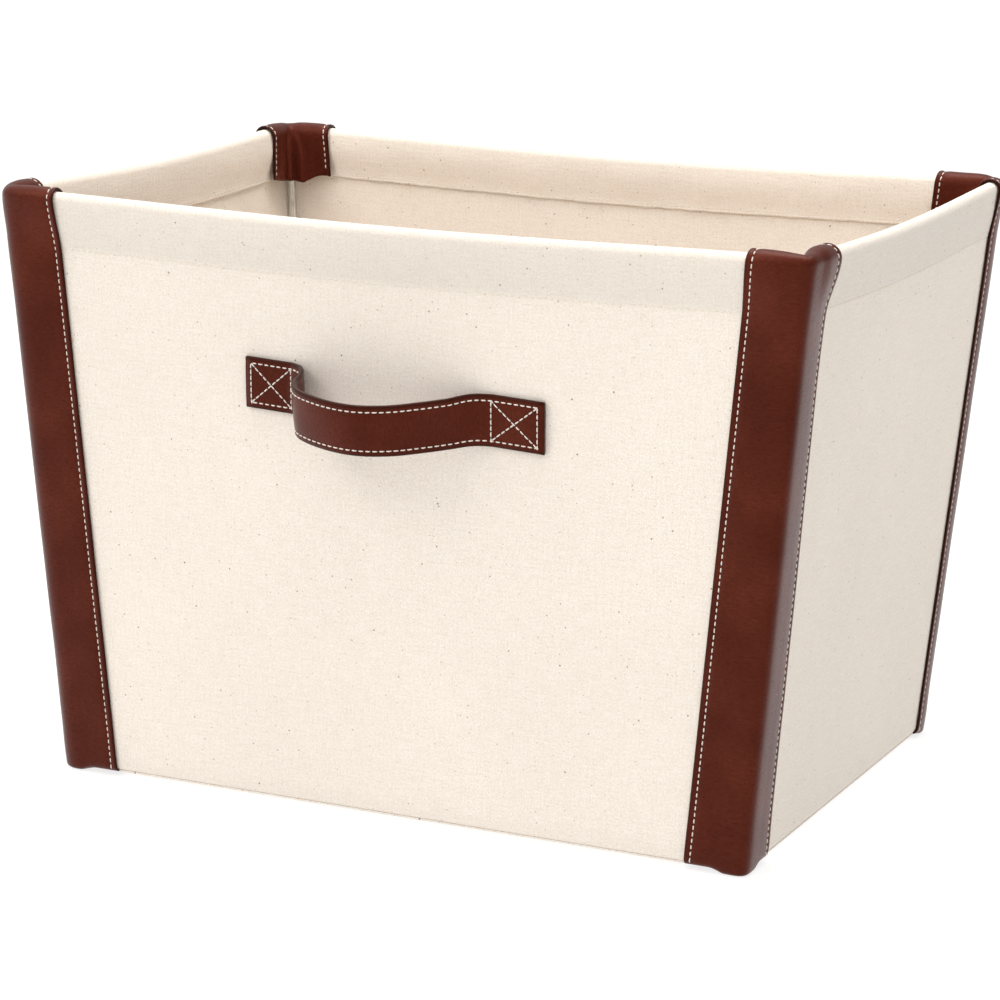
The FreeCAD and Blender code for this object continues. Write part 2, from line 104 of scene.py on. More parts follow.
def newMaterial(name):
    material = bpy.data.materials.new(name)
    material.use_nodes = True
    material.node_tree.nodes.clear()
    return material


def finishMaterial(material, settings, links):
    shader = addNode(material, "ShaderNodeBsdfPrincipled", settings, links)
    addNode(material, "ShaderNodeOutputMaterial", {}, {"Surface": shader})
    return material


def undyedCanvas(name, light, shade, hemShadeTint):
    # Plain-woven unbleached cotton duck: crossing threads with slubs, and brown seed specks.
    material = newMaterial(name)
    cloth = addNode(material, "ShaderNodeUVMap", {"uv_map": "cloth"})
    axes = addNode(material, "ShaderNodeSeparateXYZ", {}, {0: cloth}).outputs
    # threads 0.55 mm apart are too fine for the view, so they are drawn 1.1 mm apart
    pitch = 1.1 * mm
    wobble = addNode(material, "ShaderNodeTexNoise", {"Scale": 160.0, "Detail": 2.0}, {"Vector": cloth})
    drift = addNode(material, "ShaderNodeMath", {"operation": "MULTIPLY", 1: pitch * 1.5}, {0: wobble})
    threads = []
    for axis in (0, 1):
        bent = addNode(material, "ShaderNodeMath", {"operation": "ADD"}, {0: axes[axis], 1: drift})
        turns = addNode(material, "ShaderNodeMath", {"operation": "MULTIPLY", 1: 2 * math.pi / pitch},
                        {0: bent})
        threads.append(addNode(material, "ShaderNodeMath", {"operation": "SINE"}, {0: turns}))
    weave = addNode(material, "ShaderNodeMath", {"operation": "MULTIPLY"}, {0: threads[0], 1: threads[1]})
    # slubs are thicker stretches of yarn, about 1 mm across and 12 mm long
    slubs = []
    for stretch in ((700.0, 80.0, 1.0), (80.0, 700.0, 1.0)):
        scaled = addNode(material, "ShaderNodeMapping", {"Scale": stretch}, {"Vector": cloth})
        slubs.append(addNode(material, "ShaderNodeTexNoise", {"Scale": 1.0, "Detail": 2.0, "Roughness": 0.6},
                             {"Vector": scaled}))
    yarn = addNode(material, "ShaderNodeMath", {"operation": "ADD"}, {0: slubs[0], 1: slubs[1]})
    grain = addNode(material, "ShaderNodeTexNoise", {"Scale": 900.0, "Detail": 3.0, "Roughness": 0.7},
                    {"Vector": cloth})
    finePart = addNode(material, "ShaderNodeMath", {"operation": "MULTIPLY", 1: 0.66}, {0: grain})
    mottled = addNode(material, "ShaderNodeMath", {"operation": "MULTIPLY_ADD", 1: 0.17},
                      {0: yarn, 2: finePart})
    colour = addNode(material, "ShaderNodeValToRGB", {"stops": [(0.36, shade), (0.60, light)]}, {0: mottled})
    patches = addNode(material, "ShaderNodeTexNoise", {"Scale": 9.0, "Detail": 4.0}, {"Vector": cloth})
    soft = addNode(material, "ShaderNodeValToRGB", {"stops": [(0.35, 0.965), (0.65, 1.0)]}, {0: patches})
    colour = addNode(material, "ShaderNodeMix", {"data_type": "RGBA", "blend_type": "MULTIPLY", 0: 1.0},
                     {6: colour, 7: soft}).outputs[2]
    # painted shade: the two layers of the hem let less light through from inside, so the band above the seam
    # is painted duller
    start = addNode(material, "ShaderNodeMapRange", {"From Min": -1.5 * mm, "From Max": 2 * mm},
                    {"Value": axes[1]})
    end = addNode(material, "ShaderNodeMapRange", {"From Min": 33 * mm, "From Max": 27 * mm},
                  {"Value": axes[1]})
    band = addNode(material, "ShaderNodeMath", {"operation": "MULTIPLY"}, {0: start, 1: end})
    hemShaded = addNode(material, "ShaderNodeMix",
                     {"data_type": "RGBA", "blend_type": "MULTIPLY", 0: 1.0, 7: linear(hemShadeTint)},
                     {6: colour}).outputs[2]
    colour = addNode(material, "ShaderNodeMix", {"data_type": "RGBA"},
                     {0: band, 6: colour, 7: hemShaded}).outputs[2]
    # brown seed specks about 0.8 mm across, and finer, paler ones
    for cell, reach, share, speck in ((5.2, 0.55, 0.6, "#5E4836"), (3.0, 0.36, 0.6, "#86725C")):
        spots = addNode(material, "ShaderNodeTexVoronoi", {"Scale": 1 / (cell * mm)}, {"Vector": cloth})
        near = addNode(material, "ShaderNodeMapRange",
                       {"From Min": reach / cell, "From Max": 0.5 * reach / cell},
                       {"Value": spots.outputs["Distance"]})
        chance = addNode(material, "ShaderNodeSeparateColor", {}, {0: spots.outputs["Color"]}).outputs
        chosen = addNode(material, "ShaderNodeMath", {"operation": "LESS_THAN", 1: share}, {0: chance[0]})
        strength = addNode(material, "ShaderNodeMath", {"operation": "MULTIPLY", 1: 0.9}, {0: chance[1]})
        shown = addNode(material, "ShaderNodeMath", {"operation": "MULTIPLY"}, {0: near, 1: chosen})
        mask = addNode(material, "ShaderNodeMath", {"operation": "MULTIPLY"}, {0: shown, 1: strength})
        colour = addNode(material, "ShaderNodeMix", {"data_type": "RGBA", 7: linear(speck)},
                         {0: mask, 6: colour}).outputs[2]
    rough = addNode(material, "ShaderNodeMath", {"operation": "ADD"}, {0: yarn, 1: grain})
    height = addNode(material, "ShaderNodeMath", {"operation": "MULTIPLY_ADD", 1: 0.25},
                     {0: weave, 2: rough})
    bump = addNode(material, "ShaderNodeBump", {"Strength": 0.5, "Distance": 0.4 * mm}, {"Height": height})
    return finishMaterial(material, {"Roughness": 0.92, "IOR": 1.47, "Specular IOR Level": 0.25,
                                     "Sheen Weight": 0.15, "Sheen Roughness": 0.5},
                          {"Base Color": colour, "Normal": bump})


def coatedLeather(name, dark, mid, light, edge):
    # Pigment-finished split leather: a soft gloss tinted by the brown finish, and grey only at a
    # low angle, over a fine creased grain.
    material = newMaterial(name)
    hide = addNode(material, "ShaderNodeUVMap", {"uv_map": "cloth"})
    edges = addNode(material, "ShaderNodeUVMap", {"uv_map": "edge"})
    # creases 1 to 2 mm apart that run across the strip, as stretched hide shows
    stretched = addNode(material, "ShaderNodeMapping", {"Scale": (450.0, 900.0, 1.0)}, {"Vector": hide})
    crease = addNode(material, "ShaderNodeTexNoise",
                     {"Scale": 1.0, "Detail": 5.0, "Roughness": 0.65, "Distortion": 0.6},
                     {"Vector": stretched})
    pores = addNode(material, "ShaderNodeTexVoronoi", {"Scale": 1 / (0.9 * mm), "feature": "SMOOTH_F1"},
                    {"Vector": hide}).outputs["Distance"]
    clouds = addNode(material, "ShaderNodeTexNoise", {"Scale": 22.0, "Detail": 4.0}, {"Vector": hide})
    finePart = addNode(material, "ShaderNodeMath", {"operation": "MULTIPLY", 1: 0.4}, {0: crease})
    mottled = addNode(material, "ShaderNodeMath", {"operation": "MULTIPLY_ADD", 1: 0.6},
                      {0: clouds, 2: finePart})
    colour = addNode(material, "ShaderNodeValToRGB", {"stops": [(0.34, dark), (0.5, mid), (0.68, light)]},
                     {0: mottled})
    # the cut and turned edges are stained darker
    rim = addNode(material, "ShaderNodeSeparateXYZ", {}, {0: edges})
    colour = addNode(material, "ShaderNodeMix", {"data_type": "RGBA", 7: linear(edge)},
                     {0: rim, 6: colour}).outputs[2]
    height = addNode(material, "ShaderNodeMath", {"operation": "MULTIPLY_ADD", 1: 0.4},
                     {0: pores, 2: crease})
    bump = addNode(material, "ShaderNodeBump", {"Strength": 0.5, "Distance": 0.25 * mm}, {"Height": height})
    rough = addNode(material, "ShaderNodeValToRGB", {"stops": [(0.3, 0.25), (0.7, 0.40)]}, {0: crease})
    return finishMaterial(material, {"IOR": 1.5, "Specular IOR Level": 0.5,
                                     "Specular Tint": linear("#9C5A48")},
                          {"Base Color": colour, "Roughness": rough, "Normal": bump})


def sewingThread(name, light, shade):
    # Twisted polyester thread: a slight lustre, with the ply's twist drawn as fine slanted bands.
    material = newMaterial(name)
    place = addNode(material, "ShaderNodeTexCoord").outputs["Object"]
    twist = addNode(material, "ShaderNodeTexWave",
                    {"Scale": 700.0, "Distortion": 1.0, "bands_direction": "DIAGONAL"},
                    {"Vector": place}).outputs["Fac"]
    # painted shade: the thread is coloured darker in the grooves between the plies, where the bump sinks
    colour = addNode(material, "ShaderNodeValToRGB", {"stops": [(0.1, shade), (0.7, light)]}, {0: twist})
    bump = addNode(material, "ShaderNodeBump", {"Strength": 0.3, "Distance": 0.1 * mm}, {"Height": twist})
    return finishMaterial(material, {"Roughness": 0.6, "IOR": 1.5, "Sheen Weight": 0.3},
                          {"Base Color": colour, "Normal": bump})


def brightPlatedWire(name):
    # Bright zinc over drawn steel wire: a mirror-like metal with faint drawing lines and dull spots.
    material = newMaterial(name)
    place = addNode(material, "ShaderNodeTexCoord").outputs["Object"]
    lines = addNode(material, "ShaderNodeMapping", {"Scale": (1500.0, 1500.0, 20.0)}, {"Vector": place})
    drawn = addNode(material, "ShaderNodeTexNoise", {"Scale": 1.0, "Detail": 2.0}, {"Vector": lines})
    spots = addNode(material, "ShaderNodeTexNoise", {"Scale": 120.0, "Detail": 3.0}, {"Vector": place})
    rough = addNode(material, "ShaderNodeValToRGB", {"stops": [(0.4, 0.16), (0.75, 0.30)]}, {0: spots})
    colour = addNode(material, "ShaderNodeValToRGB", {"stops": [(0.3, "#DDDEDC"), (0.7, "#C2C4C3")]},
                     {0: spots})
    bump = addNode(material, "ShaderNodeBump", {"Strength": 0.15, "Distance": 0.05 * mm}, {"Height": drawn})
    return finishMaterial(material, {"Metallic": 1.0},
                          {"Base Color": colour, "Roughness": rough, "Normal": bump})


def pressedFibreboard(name):
    # Hardboard: matt brown pressed wood fibre with darker flecks.
    material = newMaterial(name)
    place = addNode(material, "ShaderNodeTexCoord").outputs["Object"]
    fibre = addNode(material, "ShaderNodeTexNoise", {"Scale": 900.0, "Detail": 4.0, "Roughness": 0.7},
                    {"Vector": place})
    colour = addNode(material, "ShaderNodeValToRGB", {"stops": [(0.3, "#5E4230"), (0.7, "#8F6C4E")]},
                     {0: fibre})
    bump = addNode(material, "ShaderNodeBump", {"Strength": 0.3, "Distance": 0.2 * mm}, {"Height": fibre})
    return finishMaterial(material, {"Roughness": 0.85, "IOR": 1.5}, {"Base Color": colour, "Normal": bump})


def backlitAcrylic(name):
    # Opal acrylic lit from below, as product tables are: an even white that swallows most shadow.
    material = newMaterial(name)
    place = addNode(material, "ShaderNodeTexCoord").outputs["Object"]
    cloudy = addNode(material, "ShaderNodeTexNoise", {"Scale": 3.0, "Detail": 2.0}, {"Vector": place})
    colour = addNode(material, "ShaderNodeValToRGB", {"stops": [(0.3, "#8C8C8B"), (0.7, "#8F8F8E")]},
                     {0: cloudy})
    return finishMaterial(material, {"Roughness": 0.95, "Specular IOR Level": 0.1,
                                     "Emission Color": linear("#FFFFFF"), "Emission Strength": 0.80},
                          {"Base Color": colour})


# the last colour is the hem band's painted shade, for the light its two layers hold back
canvas = undyedCanvas("undyedCottonDuck", "#F5ECE2", "#E7DACB", "#F5F6F6")
leather = coatedLeather("coatedSplitLeather", "#3E160D", "#4C1F15", "#5E2A1E", "#220E09")
offWhiteThread = sewingThread("offWhiteThread", "#F4EEE4", "#C9BEB0")
seamThread = sewingThread("creamSeamThread", "#F3E9DA", "#D8CBB8")
platedWire = brightPlatedWire("brightPlatedWire")
hardboard = pressedFibreboard("pressedHardboard")
opalAcrylic = backlitAcrylic("backlitOpalAcrylic")
print("materials ready")


def makePiece(name, points, faces, material, uvs=None, edges=None):
    mesh = bpy.data.meshes.new(name)
    mesh.from_pydata([tuple(p) for p in points], [], faces)
    for title, values in (("cloth", uvs), ("edge", edges)):
        if values:
            layer = mesh.uv_layers.new(name=title)
            for loop in mesh.loops:
                layer.data[loop.index].uv = values[loop.vertex_index]
    mesh.polygons.foreach_set("use_smooth", [True] * len(mesh.polygons))
    piece = bpy.data.objects.new(name, mesh)
    bpy.context.scene.collection.objects.link(piece)
    mesh.materials.append(material)
    return piece


def gridFaces(rows, columns, keepFace=None):
    faces = []
    for row in range(rows - 1):
        for column in range(columns - 1):
            if keepFace is None or keepFace(row, column):
                first = row * columns + column
                faces.append((first, first + 1, first + columns + 1, first + columns))
    return faces


def settle(piece, thickness, rounds=0):
    # Gives the sheet its thickness and rounds it, then keeps the result as plain mesh.
    thick = piece.modifiers.new("thickness", "SOLIDIFY")
    thick.thickness = thickness
    thick.offset = 0
    thick.use_even_offset = True
    if rounds:
        piece.modifiers.new("rounds", "SUBSURF").levels = rounds
        piece.modifiers["rounds"].render_levels = rounds
    graph = bpy.context.evaluated_depsgraph_get()
    graph.update()
    mesh = bpy.data.meshes.new_from_object(piece.evaluated_get(graph))
    piece.modifiers.clear()
    old = piece.data
    piece.data = mesh
    bpy.data.meshes.remove(old)
    mesh.name = piece.name


stitches = {
    "strip": {"pitch": 3.3 * mm, "length": 2.4 * mm, "width": 0.7 * mm, "rise": 0.22 * mm},
    "handle": {"pitch": 3.3 * mm, "length": 2.5 * mm, "width": 0.75 * mm, "rise": 0.22 * mm},
    "hem": {"pitch": 3.4 * mm, "length": 2.5 * mm, "width": 0.55 * mm, "rise": 0.08 * mm},
}


def stitchPoints(points, normals, pitch):
    # Even steps along a polyline: (place, direction, normal) for every stitch.
    steps, travelled, following = [], 0.0, pitch / 2
    for i in range(len(points) - 1):
        span = points[i + 1] - points[i]
        length = span.length
        if length < 1e-9:
            continue
        while following <= travelled + length:
            share = (following - travelled) / length
            steps.append((points[i] + span * share, span / length,
                          mix(normals[i], normals[i + 1], share).normalized()))
            following += pitch
        travelled += length
    return steps


def stitchPiece(name, steps, material, kind, ends=()):
    # Each stitch is a short plump thread that dives into its holes at both ends.
    length, width, rise = kind["length"], kind["width"], kind["rise"]
    around = 6
    # share of the length, girth and lift of each ring
    rings = [(-0.5, 0.35, -1.0), (-0.36, 0.8, -0.1), (0.0, 1.0, 0.35), (0.36, 0.8, -0.1), (0.5, 0.35, -1.0)]
    points, faces = [], []
    for place, along, normal in steps:
        across = normal.cross(along).normalized()
        up = along.cross(across).normalized()
        jitter = 1 + random.uniform(-0.08, 0.08)
        base = len(points)
        for share, girth, lift in rings:
            middle = place + along * (share * length * jitter) + up * (rise + lift * width * 0.35)
            for k in range(around):
                angle = 2 * math.pi * k / around
                points.append(middle + (across * math.cos(angle) + up * math.sin(angle) * 0.8)
                              * (width / 2 * girth))
        for ring in range(len(rings) - 1):
            for k in range(around):
                a = base + ring * around + k
                b = base + ring * around + (k + 1) % around
                faces.append((a, b, b + around, a + around))
        faces.append(tuple(base + k for k in reversed(range(around))))
        faces.append(tuple(base + (len(rings) - 1) * around + k for k in range(around)))
    for thread, normal in ends:      # loose ends are square tubes
        base = len(points)
        for i, middle in enumerate(thread):
            along = (thread[min(i + 1, len(thread) - 1)] - thread[max(i - 1, 0)]).normalized()
            across = normal.cross(along).normalized()
            up = along.cross(across)
            for angle in (0, math.pi / 2, math.pi, 3 * math.pi / 2):
                points.append(middle + (across * math.cos(angle) + up * math.sin(angle))
                              * canvasWall["frayRadius"])
        for i in range(len(thread) - 1):
            for k in range(4):
                a, b = base + 4 * i + k, base + 4 * i + (k + 1) % 4
                faces.append((a, b, b + 4, a + 4))
        faces.append((base + 3, base + 2, base + 1, base))
        faces.append(tuple(len(points) - 4 + k for k in range(4)))
    return makePiece(name, points, faces, material)


def wireHalf(axis, z):
    return mix(footHalf[axis], rimHalf[axis], (z - footLevel) / (rimLevel - footLevel))


def onSide(side, share, turn, out, z):
    # share runs from -1 to 1 between the corner bends, and turn goes round a bend, in radians.
    alongX, alongY = sides[side]
    lengthAxis = 0 if alongX else 1
    straight = wireHalf(lengthAxis, z) - wireBend
    depth = wireHalf(1 - lengthAxis, z) - wireBend
    sign = 1 if share > 0 else -1
    run = share * straight + sign * (wireBend + out) * math.sin(turn)
    away = depth + (wireBend + out) * math.cos(turn)
    return Vector((alongX * run + alongY * away, alongY * run - alongX * away, z))


def rimDrop(share):
    # How far the rim dips: between a plain parabola and the wire's own levelled ends.
    s = (share + 1) / 2
    return wireSag * mix(math.sin(math.pi * s) ** 2, 4 * s * (1 - s), 0.5)


def wave(seed, along, up, size):
    return noise.noise(Vector((along / size + seed * 7.3, up / size - seed * 3.1, seed * 1.7)))


canvasWall = {
    "thickness": 0.9 * mm,
    "standOff": 3.3 * mm,      # cloth's middle to the wires' middle line, at the foot
    "drawIn": 2.8 * mm,        # the hem seam pulls the wall in under the rim
    "postReach": 30 * mm,      # the posts hold the cloth out this far from a corner
    # rim top to the hem's seam; the back was turned in least
    "hemRow": {"front": 27.5 * mm, "right": 28 * mm, "back": 24.5 * mm, "left": 26.5 * mm},
    "hemEdge": 2.2 * mm,       # seam to the turned edge inside
    "rollRadius": 3.75 * mm,   # cloth's middle, round the rim wire
    "slack": 0.7 * mm,         # slow waves of cloth between its seams
    "hemEnd": 12 * mm,         # the turned hem runs on this far under the leather
    "meshStep": 6.5 * mm,      # columns of the mesh along the wall
    "frays": 5,                # loose thread ends at each wall's turned edge
    "frayStep": 1.2 * mm,      # their straight steps, 4 to 8 of them each
    "frayRadius": 0.16 * mm,
}


def seamLevel(side):
    return rimLevel - canvasWall["hemRow"][side] + canvasWall["rollRadius"]


def wallOut(side, fromCorner, along, z):
    # Middle of the wall cloth, outwards from the wires: pulled in towards the hem seam and
    # held out by the posts near a corner.
    w = canvasWall
    rowLevel = seamLevel(side)
    rise = min(1.0, max(0.0, (z - footLevel) / (rowLevel - footLevel)))
    free = smooth(0, w["postReach"], fromCorner)
    seed = list(sides).index(side) + 1
    loose = math.sin(math.pi * rise) * smooth(0, 2.5 * w["postReach"], fromCorner)
    waves = wave(seed, along, z, 0.11) + 0.35 * wave(seed + 9, along, z, 0.04)
    return w["standOff"] - (0.5 * mm + (w["drawIn"] - 0.5 * mm) * free) * rise + w["slack"] * waves * loose


def wallStations():
    # The cloth's length, from under the base wire to the turned edge inside the hem.
    stations = [("under", a) for a in (0.0, 0.5, 1.0)]
    stations += [("wall", i / 34) for i in range(1, 35)]
    stations += [("hem", i / 6) for i in range(1, 6)]
    stations += [("roll", i / 14) for i in range(15)]
    stations += [("inside", i / 7) for i in range(1, 8)]
    return stations + [("edge", 0.5), ("edge", 1.0)]


def wallProfile(side, share, along, fromCorner, station):
    w = canvasWall
    kind, t = station
    drop = rimDrop(share) if abs(share) < 1 else 0.0
    rollMiddle = rimLevel - drop
    rowLevel = seamLevel(side) - drop
    seed = list(sides).index(side) + 1
    if kind == "under":
        # the foot turns in round the base wire
        angle = mix(-1.35, 0.0, t)
        reach = w["standOff"]
        return reach * math.cos(angle), footLevel + (reach - 0.35 * mm) * math.sin(angle)
    if kind == "wall":
        z = mix(footLevel, rowLevel, t)
        return wallOut(side, fromCorner, along, z), z
    rowOut = wallOut(side, fromCorner, along, rowLevel)
    if kind == "hem":
        z = mix(rowLevel, rollMiddle, t)
        puff = math.sin(math.pi * min(1, t * 1.2)) * (0.5 + 0.6 * wave(seed + 20, along, 0, 0.03)) * mm
        return mix(rowOut, w["rollRadius"], smooth(-0.15, 1.0, t)) + puff * 0.5, z
    if kind == "roll":
        angle = mix(0.0, math.pi, t)
        return w["rollRadius"] * math.cos(angle), rollMiddle + w["rollRadius"] * math.sin(angle)
    innerRow = rowOut - w["thickness"] * 1.1
    if kind == "inside":
        z = mix(rollMiddle, rowLevel, t)
        pucker = wave(seed + 40, along, z, 0.022) * 0.8 + wave(seed + 41, along, z * 0.3, 0.009) * 0.35
        belly = math.sin(math.pi * t) * (0.9 + pucker) * mm
        return mix(-w["rollRadius"], innerRow, smooth(0.0, 1.15, t)) - belly, z
    ragged = 0.5 * mm * wave(seed + 60, along, 0, 0.006)
    z = rowLevel - t * (w["hemEdge"] + ragged)
    lift = (0.25 + 0.5 * abs(wave(seed + 61, along, 0, 0.02))) * mm * t
    return innerRow - lift, z


def endArms(side):
    # How far the leather at each end of a wall reaches along it, first end first.
    alongX, alongY = sides[side]
    arms = []
    for sign in (-1, 1):
        place = (alongX * sign + alongY, alongY * sign - alongX)
        corner = next(name for name, signs in corners.items() if signs == place)
        arms.append(armAt(corner, "x" if alongX else "y"))
    return arms


def makeWall(side):
    w = canvasWall
    lengthAxis = 0 if sides[side][0] else 1
    straightTop = wireHalf(lengthAxis, rimLevel) - wireBend
    bends = [math.radians(a) for a in (45, 36, 27, 18, 9)]
    count = int(2 * straightTop / w["meshStep"])
    count += count % 2
    columns = [(-1, a) for a in bends]
    columns += [(2 * i / count - 1, 0.0) for i in range(count + 1)]
    columns += [(1, a) for a in reversed(bends)]
    stations = wallStations()
    points, uvs = [], []
    for station in stations:
        for share, turn in columns:
            along = share * straightTop
            fromCorner = 0.0 if turn else straightTop * (1 - abs(share))
            out, z = wallProfile(side, share, along, fromCorner, station)
            points.append(onSide(side, share, turn, out, z))
    # the cloth's own measure: along the panel, and up it from the hem seam
    seamRow = max(i for i, s in enumerate(stations) if s[0] == "wall")
    lengths = [0.0]
    middle = len(columns) // 2
    for row in range(1, len(stations)):
        step = points[row * len(columns) + middle] - points[(row - 1) * len(columns) + middle]
        lengths.append(lengths[-1] + step.length)
    alongVector = Vector((sides[side][0], sides[side][1], 0))
    for row in range(len(stations)):
        for column, (share, turn) in enumerate(columns):
            point = points[row * len(columns) + column]
            extra = (1 if share > 0 else -1) * 6 * mm * math.sin(turn)
            uvs.append((point.dot(alongVector) + extra, lengths[row] - lengths[seamRow]))
    before, after = [1 - (arm - w["hemEnd"]) / straightTop for arm in endArms(side)]
    rollEnd = next(i for i, s in enumerate(stations) if s[0] == "inside")

    def keepFace(row, column):
        inFlap = all(-before <= columns[c][0] <= after and not columns[c][1] for c in (column, column + 1))
        return row < rollEnd or inFlap

    faces = gridFaces(len(stations), len(columns), keepFace)
    used = sorted({i for face in faces for i in face})
    renumber = {old: new for new, old in enumerate(used)}
    faces = [tuple(renumber[i] for i in face) for face in faces]
    wall = makePiece(f"canvas_{side}_wall", [points[i] for i in used], faces, canvas,
                     [uvs[i] for i in used])
    settle(wall, w["thickness"])
    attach(wall, "bin")
    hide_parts(f"{side}_panel")
    hemSeam(side, columns, stations, points)


def rowNormals(points, columns, row, picked):
    normals = []
    for c in picked:
        across = points[row * columns + c + 1] - points[row * columns + c - 1]
        upwards = points[(row + 1) * columns + c] - points[(row - 1) * columns + c]
        normals.append(across.cross(upwards).normalized())
    return normals


def looseEnds(points, width, picked, row):
    # Frayed threads that curl out from under the turned edge, each as a run of short straight steps.
    threads = []
    for _ in range(canvasWall["frays"]):
        column = random.choice(picked[3:-3])
        here = points[row * width + column].copy()
        inwards = rowNormals(points, width, row - 1, [column])[0]
        along = (points[row * width + column + 1] - here).normalized()
        drift, curl = random.uniform(-1.2, 1.2), random.uniform(-0.7, 0.7)
        thread = [here - inwards * 0.2 * mm]
        for _ in range(random.randint(4, 8)):
            drift += curl
            step = along * math.sin(drift) - Vector((0, 0, 1)) * abs(math.cos(drift)) + inwards * 0.25
            thread.append(thread[-1] + step * canvasWall["frayStep"])
        threads.append((thread, inwards))
    return threads


def hemSeam(side, columns, stations, points):
    # One row of stitches holds the hem: seen outside, and inside just above the turned edge.
    lastWall = max(i for i, s in enumerate(stations) if s[0] == "wall")
    lastInside = max(i for i, s in enumerate(stations) if s[0] == "inside")
    width = len(columns)
    straightTop = wireHalf(0 if sides[side][0] else 1, rimLevel) - wireBend
    before, after = [1 - (arm + 1 * mm) / straightTop for arm in endArms(side)]
    picked = [c for c in range(1, width - 1) if -before < columns[c][0] < after and not columns[c][1]]
    steps = []
    for row in (lastWall, lastInside):
        line = [points[row * width + c].copy() for c in picked]
        normals = rowNormals(points, width, row, picked)
        line = [p + n * (canvasWall["thickness"] / 2) for p, n in zip(line, normals)]
        steps += stitchPoints(line, normals, stitches["hem"]["pitch"])
    seam = stitchPiece(f"hem_seam_{side}", steps, seamThread, stitches["hem"],
                       looseEnds(points, width, picked, len(stations) - 1))
    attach(seam, "bin")
    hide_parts(f"hem_thread_{side}")


leatherStrip = {
    "thickness": 1.3 * mm,
    # flat width on the front or back wall, and on the side wall: each was folded a little off centre
    "arms": {"front_left": (22.5 * mm, 18 * mm), "front_right": (20 * mm, 16.5 * mm),
             "back_left": (22 * mm, 20 * mm), "back_right": (26 * mm, 10 * mm)},
    "ears": {"front_right": 5 * mm},   # the side's edge flares by this much at the rim
    # power of the bend's outline: 1 is a plain arc, less is a sharper fold
    "crease": {"front_left": 0.85, "front_right": 0.45, "back_left": 0.9, "back_right": 1.0},
    "stitchInset": 3.1 * mm,
    "lip": 0.35 * mm,          # the turned edge stands proud outside the stitches
    "groove": 0.35 * mm,       # the stitches pull the leather down
    "rollRadius": 5.5 * mm,
    "saddle": 1.2 * mm,        # how far the roll dips over the corner itself
    "flapLow": 32 * mm,        # rim top to the flap's lower edge
    "flapLift": (4 * mm, 2 * mm),   # the flap's ends hang this much higher than its middle
    "flapBend": 7 * mm,        # plan radius of the loose flap inside a corner
    "flapOut": -5.4 * mm,
    "pleat": 1.7 * mm,
    "heel": 2.2 * mm,          # the corner reaches this much lower than the arms
    "footBend": 2.2 * mm,      # radius of the turn under the base wire
    "patch": 28 * mm,          # the patch under the corner reaches in this far
}


def armAt(corner, kind):
    return leatherStrip["arms"][corner][0 if kind == "x" else 1]


def stripColumns(corner):
    # (part, place, distance in from the free edge): part x lies on the front or back wall,
    # part y on a side wall, and the bend between them is placed by its angle.
    sewn = [0.0, 0.8, 1.7, 2.4, 3.1, 3.8, 5.2, 7.2]
    arms = {}
    for kind in ("x", "y"):
        arm = armAt(corner, kind)
        inner = [mix(7.2 * mm, arm - 1.2 * mm, share) for share in (0.25, 0.5, 0.75, 1.0)]
        arms[kind] = [(kind, arm - e, e) for e in [e * mm for e in sewn] + inner]
    bend = [("bend", math.radians(a), 1.0) for a in (0, 11, 22, 33, 45, 57, 68, 79, 90)]
    return arms["x"] + bend + arms["y"][::-1]


def acrossStrip(column):
    # Developed distance from the strip's middle line, and distance from its nearer free edge.
    kind, value, fromEdge = column
    bendHalf = math.pi / 4 * (wireBend + canvasWall["standOff"])
    if kind == "bend":
        return (value - math.pi / 4) * (wireBend + canvasWall["standOff"]), fromEdge
    return (-1 if kind == "x" else 1) * (bendHalf + value), fromEdge


def surfaceShape(fromEdge):
    # Height of the leather's face across the strip: a rounded turned edge, then the stitch groove.
    s = leatherStrip
    e = fromEdge / mm
    row = s["stitchInset"] / mm
    lip = s["lip"] * (smooth(-0.2, 1.0, e) - smooth(row - 1.1, row, e))
    groove = s["groove"] * math.exp(-((e - row) / 0.7) ** 2)
    crown = 0.5 * s["lip"] * smooth(row, row + 2.4, e) * (1 - smooth(9, 15, e))
    return lip - groove + crown


def atCorner(corner, column, out, z, loose=0.0):
    # Point on a corner strip. loose goes from the wires' tight bend to the flap's wide one.
    sx, sy = corners[corner]
    kind, value, fromEdge = column
    cx, cy = sx * (wireHalf(0, z) - wireBend), sy * (wireHalf(1, z) - wireBend)
    reach = wireBend + out
    if kind == "x":
        tight = Vector((cx - sx * value, cy + sy * reach, z))
    elif kind == "y":
        tight = Vector((cx + sx * reach, cy - sy * value, z))
    else:
        power = mix(leatherStrip["crease"][corner], 1.0, loose)
        bentX, bentY = max(0, math.sin(value)) ** power, max(0, math.cos(value)) ** power
        tight = Vector((cx + sx * reach * bentX, cy + sy * reach * bentY, z))
    if loose <= 0:
        return tight
    wide = leatherStrip["flapBend"]
    shift = wide - reach                  # the wide bend's centre moves in by this much
    arm = value + fromEdge
    if kind == "bend":
        px, py = wide * math.sin(value) - shift, wide * math.cos(value) - shift
    elif kind == "x":
        px, py = -mix(shift, arm, value / arm), reach
    else:
        px, py = reach, -mix(shift, arm, value / arm)
    return mix(tight, Vector((cx + sx * px, cy + sy * py, z)), loose)


def stripStations():
    stations = [("sole", t) for t in (0.0, 0.25, 0.5, 0.75)]
    stations += [("turn", t) for t in (0.0, 0.33, 0.67)]
    stations += [("wall", i / 30) for i in range(0, 31)]
    stations += [("hem", i / 6) for i in range(1, 6)]
    stations += [("roll", i / 12) for i in range(13)]
    stations += [("flap", i / 9) for i in range(1, 10)]
    return stations


def sideOf(corner, kind):
    sx, sy = corners[corner]
    if kind == "x":
        return "front" if sy < 0 else "back"
    return "left" if sx < 0 else "right"


